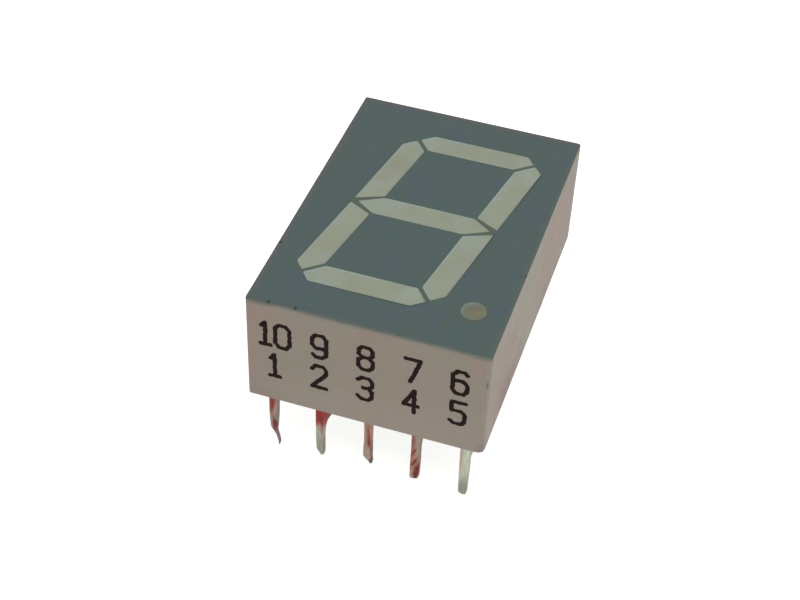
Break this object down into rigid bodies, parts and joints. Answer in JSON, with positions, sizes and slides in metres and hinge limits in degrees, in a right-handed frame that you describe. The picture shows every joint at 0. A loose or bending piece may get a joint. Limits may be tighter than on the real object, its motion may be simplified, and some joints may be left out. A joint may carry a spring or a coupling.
{
  "type": "seven segment display",
  "caption": "Slanted bar digit and round point in a grey face, on a pale moulded block with flat solder pins along its top and foot, for showing a lit numeral.",
  "frame": {"origin": "centre of the housing's underside, which is the seating plane on a board", "axes": "+Z out of the display face, +Y towards the top of the digit, +X to the digit's right as it is read"},
  "size_m": [0.012, 0.0172, 0.0107],
  "materials": {
    "housing_plastic": "moulded, satin",
    "face_paint": "matt",
    "casting_resin": "satin",
    "tinned_lead": "dull tin",
    "chip": "polished crystal",
    "bond_wire": "drawn gold"
  },
  "bodies": {
    "root": {"housing": "housing_plastic", "face_coating": "face_paint", "resin_fill": "casting_resin", "common_lead": "tinned_lead", "lead_a": "tinned_lead", "lead_b": "tinned_lead", "lead_c": "tinned_lead", "lead_d": "tinned_lead", "lead_e": "tinned_lead", "lead_f": "tinned_lead", "lead_g": "tinned_lead", "lead_dp": "tinned_lead", "die_a": "chip", "die_b": "chip", "die_c": "chip", "die_d": "chip", "die_e": "chip", "die_f": "chip", "die_g": "chip", "die_dp": "chip", "wire_a": "bond_wire", "wire_b": "bond_wire", "wire_c": "bond_wire", "wire_d": "bond_wire", "wire_e": "bond_wire", "wire_f": "bond_wire", "wire_g": "bond_wire", "wire_dp": "bond_wire"}
  },
  "joints": []
}
